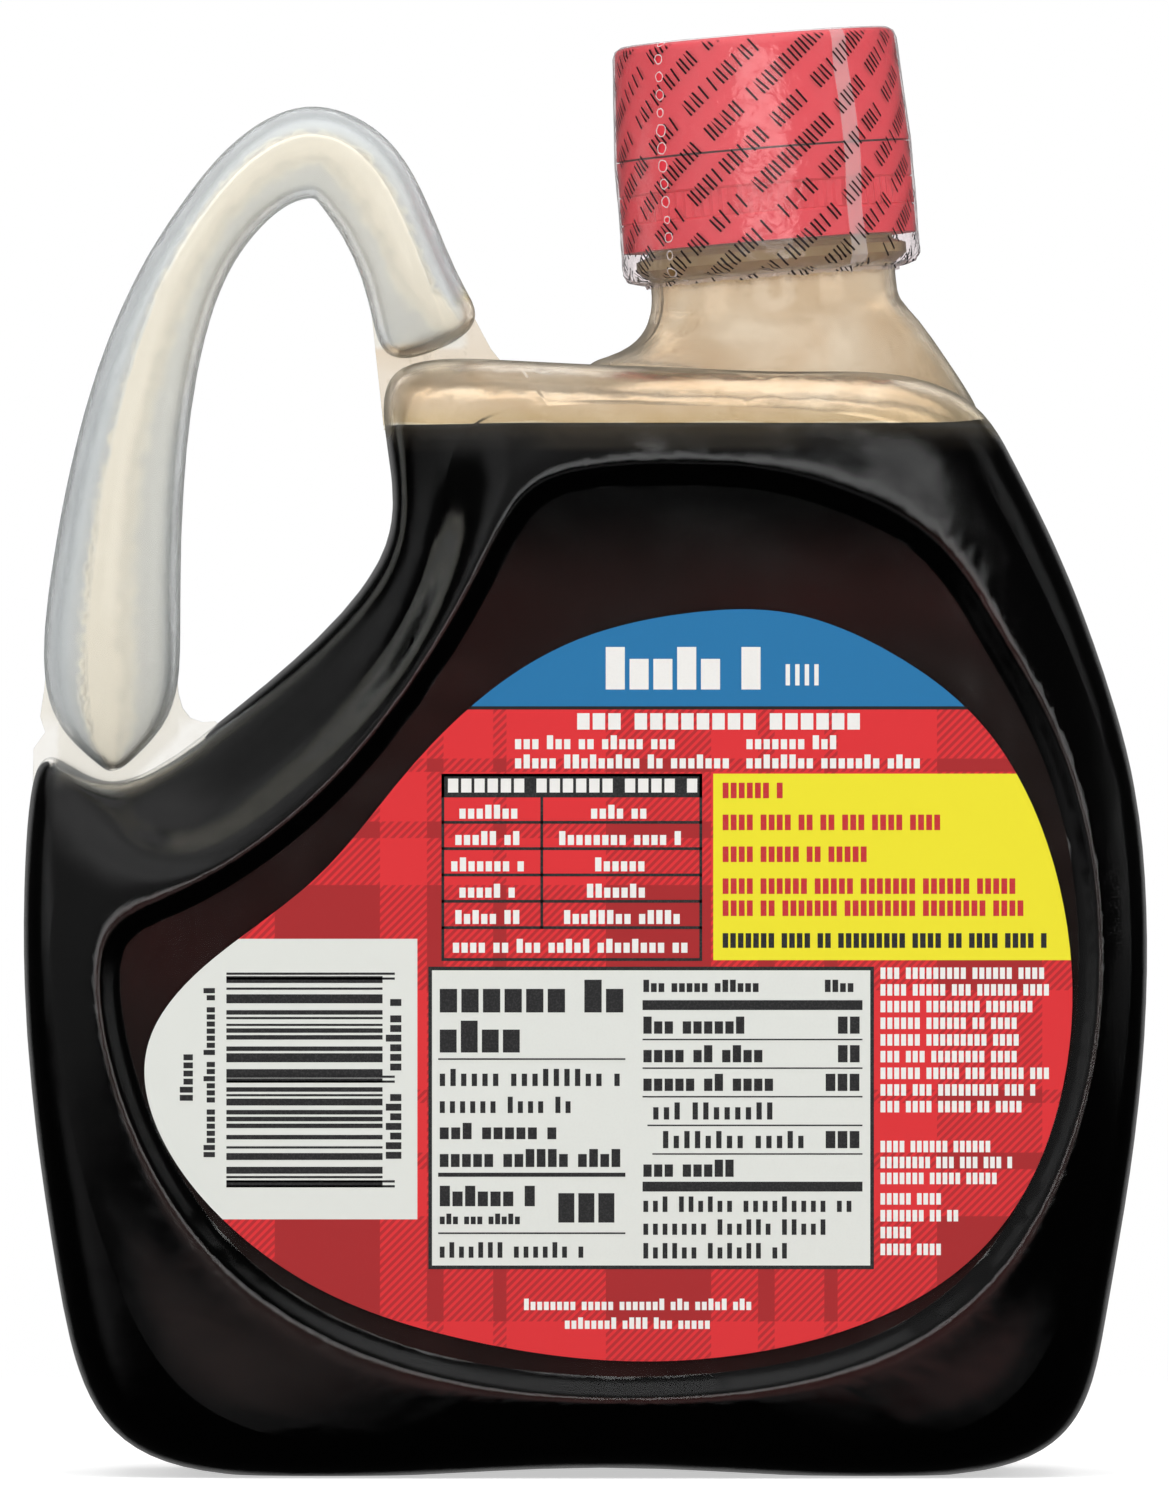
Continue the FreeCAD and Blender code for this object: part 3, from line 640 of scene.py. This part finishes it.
def back_print():
    """Directions, table, notice, facts panel and bars, all as blocks without words."""
    page = Print(-1, 7)
    # blue arch: a bold line and a light one
    page.words(2.6, 23.6, 96.4, 101.6, "white", letter=0.56, weight=0.8)
    page.words(24.6, 30.4, 96.9, 99.5, "white", letter=0.45, tall=True, weight=0.45)
    # heading and directions
    page.words(-0.9, 35.2, 91.5, 93.5, "white", letter=0.95, tall=True, weight=0.8)
    for row, ends in enumerate(((-8.5, 11.6, 19.8, 31.0), (-8.5, 18.1, 19.8, 42.0))):
        foot = 89.1 - 2.35 * row
        page.words(ends[0], ends[1], foot, foot + 1.7, "white")
        page.words(ends[2], ends[3], foot, foot + 1.7, "white")
    # table
    left, right, top, foot, line = -17.5, 14.4, 86.1, 63.2, 0.35
    page.frame(left, right, foot, top, line, "black")
    page.box(left, right, 83.2, top, "black")
    page.words(left + 0.8, right - 0.6, 83.8, 85.5, "white", 2, letter=0.95, tall=True, weight=0.78)
    rows = [83.2 - 3.22 * k for k in range(6)]
    for level in rows[1:]:
        page.box(left, right, level, level + line, "black")
    page.box(-5.4, -5.4 + line, rows[5], 83.2, "black")
    for k, level in enumerate(rows[:5]):
        half = 3.9 + 0.5 * (k % 3)
        page.words(-11.4 - half, -11.4 + half, level - 2.6, level - 0.9, "white")
        half = (3.9, 7.8, 3.4, 4.4, 7.2)[k]
        page.words(4.7 - half, 4.7 + half, level - 2.6, level - 0.9, "white")
    page.words(-16.1, 13.0, 64.2, 65.9, "white")
    # yellow field
    for level, end in ((83.1, 24.4), (79.2, 43.7), (75.3, 35.3), (71.4, 53.0), (68.7, 53.8)):
        page.words(16.9, end, level, level + 1.9, "red", letter=0.52, tall=True)
    page.words(16.9, 57.0, 64.8, 66.6, "black", letter=0.52, tall=True)
    # facts panel
    left, right, top, foot = -19.1, 35.4, 62.5, 25.5
    page.box(left, right, foot, top, "black")
    page.box(left + 0.45, right - 0.45, foot + 0.45, top - 0.45, "pale", 2)
    page.words(-17.7, 5.0, 56.9, 60.9, "black", 3, letter=0.66, weight=0.8)
    page.words(-17.7, -3.8, 52.0, 55.9, "black", 3, letter=0.66, weight=0.8)
    for rule, deep in ((51.1, 0.2), (36.8, 0.5), (29.8, 0.2)):
        page.box(-17.9, 5.0, rule, rule + deep, "black", 3)
    page.words(-17.7, 4.6, 47.9, 50.0, "black", 3, weight=0.5)
    page.words(-17.7, -1.6, 44.6, 46.6, "black", 3, weight=0.5)
    page.words(-17.7, -3.0, 41.4, 43.4, "black", 3, letter=0.7, weight=0.78)
    page.words(-17.7, 4.4, 38.0, 40.2, "black", 3, letter=0.62, weight=0.78)
    page.words(-17.7, -5.2, 33.2, 35.7, "black", 3, letter=0.62, weight=0.8)
    page.words(-17.7, -7.4, 31.0, 32.3, "black", 3, weight=0.75)
    page.words(-3.2, 4.6, 31.2, 34.8, "black", 3, letter=0.68, tall=True, weight=0.8)
    page.words(-17.7, 0.2, 26.9, 28.8, "black", 3, weight=0.5)
    page.words(7.2, 21.8, 59.4, 60.9, "black", 3, weight=0.75)
    page.words(29.4, 34.0, 59.4, 60.9, "black", 3, weight=0.75)
    for bar in (57.2, 35.0):
        page.box(7.1, 34.0, bar, bar + 1.2, "black", 3)
    lines = (
        (0.0, 13.6, 0.78, 2),
        (0.0, 14.8, 0.78, 2),
        (0.0, 17.0, 0.78, 3),
        (1.2, 17.2, 0.5, 0),
        (2.4, 21.0, 0.5, 3),
        (0.0, 11.6, 0.78, 0),
    )
    for k, (inset, end, weight, figures) in enumerate(lines):
        level = 54.3 - 3.5 * k
        page.words(7.2 + inset, 7.2 + end, level, level + 2.1, "black", 3, weight=weight)
        if figures:
            start = 34.0 - 1.5 * figures
            page.words(start, 34.0, level, level + 2.1, "black", 3, letter=0.7, tall=True, weight=0.8)
        if k < 5:
            page.box(7.1 + inset * 0.5, 34.0, level - 0.8, level - 0.62, "black", 3)
    for level, end in ((32.5, 33.8), (29.7, 30.6), (26.8, 25.8)):
        page.words(7.2, end, level, level + 1.9, "black", 3, weight=0.5)
    # bars of the pale field at the left, and its small upright lines
    level, dice = 35.5, page.dice
    while level < 61.4:
        thick = dice.choice((0.28, 0.28, 0.55, 0.84, 1.1))
        page.box(-43.8, -24.7, level, min(level + thick, 61.8), "black")
        level += thick + dice.choice((0.28, 0.28, 0.55, 0.84))
    for level in (35.5, 36.1, 48.3, 48.9, 60.9, 61.5):
        page.box(-43.8, -23.2, level, level + 0.28, "black")
    page.upright_words(-24.3, -22.4, 39.0, 47.4, "black")
    page.upright_words(-24.3, -22.4, 49.8, 59.2, "black")
    page.upright_words(-46.6, -45.2, 39.2, 60.0, "black")
    page.upright_words(-49.5, -47.9, 46.1, 52.9, "black")
    # white paragraphs at the right and the lines at the foot
    ends = (56.8, 57.4, 55.2, 54.2, 53.2, 53.6, 56.8, 55.4, 53.8)
    for k, end in enumerate(ends):
        page.words(36.2, end, 61.0 - 2.04 * k, 62.4 - 2.04 * k, "white", letter=0.6, tall=True)
    for k, end in enumerate((50.0, 52.4, 51.0)):
        page.words(36.2, end, 39.8 - 1.95 * k, 41.2 - 1.95 * k, "white", letter=0.56, tall=True)
    for k, end in enumerate((43.6, 46.6, 40.2, 43.8)):
        page.words(36.2, end, 33.4 - 2.06 * k, 34.8 - 2.06 * k, "white", letter=0.56, tall=True)
    page.words(-7.4, 20.9, 20.5, 21.9, "white", letter=0.58)
    page.words(-2.4, 15.6, 18.2, 19.6, "white", letter=0.58)
    return page.done("back_label_print")


def front_print():
    """A cream oval with a stack of pancakes over a blue ribbon of blocks."""
    page = Print(1, 11)
    middle = -4.0
    page.disc(middle, 62.0, 31.0, 23.0, "pale")
    page.disc(middle, 48.0, 20.0, 3.2, "blue", 2)
    for k in range(4):
        page.disc(middle + 0.6 * (-1) ** k, 51.0 + 3.4 * k, 16.0, 2.5, "brown", 2 + 2 * k)
        page.disc(middle + 0.6 * (-1) ** k, 51.9 + 3.4 * k, 16.0, 2.4, "tan", 3 + 2 * k)
    page.box(middle - 3.0, middle + 3.0, 63.0, 66.6, "yellow", 10)
    page.box(middle - 24.0, middle + 24.0, 72.0, 80.0, "blue", 2)
    page.words(middle - 21.0, middle + 21.0, 73.6, 78.4, "white", 3, letter=0.7, tall=True)
    page.words(middle - 20.0, middle + 22.0, 30.0, 33.4, "white", letter=0.7, tall=True)
    page.words(middle - 14.0, middle + 16.0, 25.6, 27.6, "white", letter=0.7)
    page.words(-24.0, 0.0, 96.6, 100.6, "white", letter=0.6)
    return page.done("front_label_print")


dress(nodes["back_label"], back_label_material())
dress(nodes["front_label"], front_label_material())
back_print()
front_print()


# ---- floor, light and camera ---------------------------------------------------------------
FLOOR_HALF = 3.0  # metres
FLOOR_FADE = (160.0, 420.0)  # millimetres from the middle: from floor to plain white


def stage_material():
    """White floor that keeps the bottle's shadow and is otherwise as white as the world."""
    made, tree = new_material("stage_white")
    whole = tree.place()[0]
    drift = tree.noise(whole, 0.004, 1.0)
    colour = tree.mix(drift, (0.86, 0.86, 0.86, 1.0), (0.88, 0.88, 0.88, 1.0))
    matte = tree.add("ShaderNodeBsdfDiffuse", {"Color": colour}).outputs[0]
    glow = tree.add("ShaderNodeEmission", {"Color": (1.0, 1.0, 1.0, 1.0), "Strength": 0.55}).outputs[0]
    path = tree.add("ShaderNodeLightPath")
    seen = tree.math("MAXIMUM", path.outputs["Is Camera Ray"], path.outputs["Is Transmission Ray"])
    nothing = tree.add("ShaderNodeEmission", {"Strength": 0.0}).outputs[0]
    lift = tree.add("ShaderNodeMixShader", {0: seen, 1: nothing, 2: glow}).outputs[0]
    near = tree.add("ShaderNodeAddShader", {0: matte, 1: lift}).outputs[0]
    reach = tree.add("ShaderNodeVectorMath", {0: whole}, operation="LENGTH").outputs["Value"]
    far = tree.all_of(tree.step(reach, FLOOR_FADE[0], FLOOR_FADE[1]), seen)
    clear = tree.add("ShaderNodeBsdfTransparent").outputs[0]
    shown = tree.add("ShaderNodeMixShader", {0: far, 1: near, 2: clear}).outputs[0]
    mirrored = path.outputs["Is Glossy Ray"]
    tree.surface(tree.add("ShaderNodeMixShader", {0: mirrored, 1: shown, 2: clear}).outputs[0])
    return made


floor_mesh = bpy.data.meshes.new("floor")
corners = [(-1, -1), (1, -1), (1, 1), (-1, 1)]
floor_mesh.from_pydata([(x * FLOOR_HALF, y * FLOOR_HALF, -0.0002) for x, y in corners], [], [(0, 1, 2, 3)])
floor = bpy.data.objects.new("floor", floor_mesh)
scene.collection.objects.link(floor)
dress(floor, stage_material())

world = bpy.data.worlds.new("studio")
scene.world = world
world.use_nodes = True
world.node_tree.nodes.clear()
studio = Tree(world.node_tree)
path = studio.add("ShaderNodeLightPath")
seen = studio.math("MAXIMUM", path.outputs["Is Camera Ray"], path.outputs["Is Transmission Ray"])
# reflections see a dark room: a narrow pale ring close round the camera, dimmer low down,
# a soft panel up to the left, a row high up all round and a weak one behind
towards = studio.add("ShaderNodeSeparateXYZ", {0: studio.add("ShaderNodeTexCoord").outputs["Generated"]})
forward = studio.math("MULTIPLY", towards.outputs[1], -1.0)
ring = studio.all_of(studio.step(forward, 0.9985, 0.988), studio.step(forward, 0.92, 0.968))
lively = studio.math("MULTIPLY_ADD", studio.step(towards.outputs[2], -0.1, 0.0), 2.4, 0.22)
up_left = studio.math("SUBTRACT", towards.outputs[2], towards.outputs[0])
panel = studio.all_of(
    studio.step(up_left, 0.1, 0.5), studio.step(forward, 0.4, 0.7), studio.step(forward, 0.97, 0.88)
)
ceiling = studio.math("MULTIPLY", studio.step(towards.outputs[2], 0.5, 0.8), 0.5)
back = studio.math("MULTIPLY", studio.step(towards.outputs[1], 0.8, 0.97), 0.2)
backdrop = studio.math("MULTIPLY_ADD", panel, 0.25, studio.math("MULTIPLY", ring, lively))
backdrop = studio.math("ADD", studio.math("ADD", backdrop, ceiling), studio.math("ADD", back, 0.01))
soft = studio.add("ShaderNodeBackground", {"Color": (1.0, 1.0, 1.0, 1.0), "Strength": 0.4}).outputs[0]
dim = studio.add("ShaderNodeBackground", {"Color": (1.0, 1.0, 1.0, 1.0), "Strength": backdrop}).outputs[0]
white = studio.add("ShaderNodeBackground", {"Color": (1.0, 1.0, 1.0, 1.0), "Strength": 1.0}).outputs[0]
mixed = studio.add("ShaderNodeMixShader", {0: path.outputs["Is Glossy Ray"], 1: soft, 2: dim}).outputs[0]
mixed = studio.add("ShaderNodeMixShader", {0: seen, 1: mixed, 2: white}).outputs[0]
studio.add("ShaderNodeOutputWorld", {"Surface": mixed})


def area_light(name, place, target, size, power):
    light = bpy.data.lights.new(name, "AREA")
    light.shape, light.size, light.size_y, light.energy = "RECTANGLE", size[0], size[1], power
    lamp = bpy.data.objects.new(name, light)
    scene.collection.objects.link(lamp)
    lamp.location = place
    lamp.visible_glossy = False  # the world's soft panels make the highlights
    lamp.rotation_euler = (Vector(target) - Vector(place)).to_track_quat("-Z", "Y").to_euler()
    return lamp


area_light("top_softbox", (0.0, -0.35, 1.0), (0, 0, 0.1), (1.1, 0.7), 6.5)
area_light("left_softbox", (-0.95, -0.55, 0.35), (0, 0, 0.09), (0.5, 1.0), 3.4)
area_light("right_softbox", (0.95, -0.55, 0.35), (0, 0, 0.09), (0.5, 1.0), 3.4)
area_light("rear_softbox", (0.0, 1.0, 0.55), (0, 0, 0.09), (1.2, 0.6), 2.4)

# a long lens far off, level with the middle of the bottle
camera_data = bpy.data.cameras.new("camera")
camera_data.sensor_width = 36.0
camera_data.lens = 505.2
camera_data.clip_start = 0.05
camera = bpy.data.objects.new("camera", camera_data)
scene.collection.objects.link(camera)
camera.location = (0.0, -2.6, 0.089)
camera.rotation_euler = (math.radians(90), 0, 0)
scene.camera = camera

scene.view_settings.view_transform = "Standard"
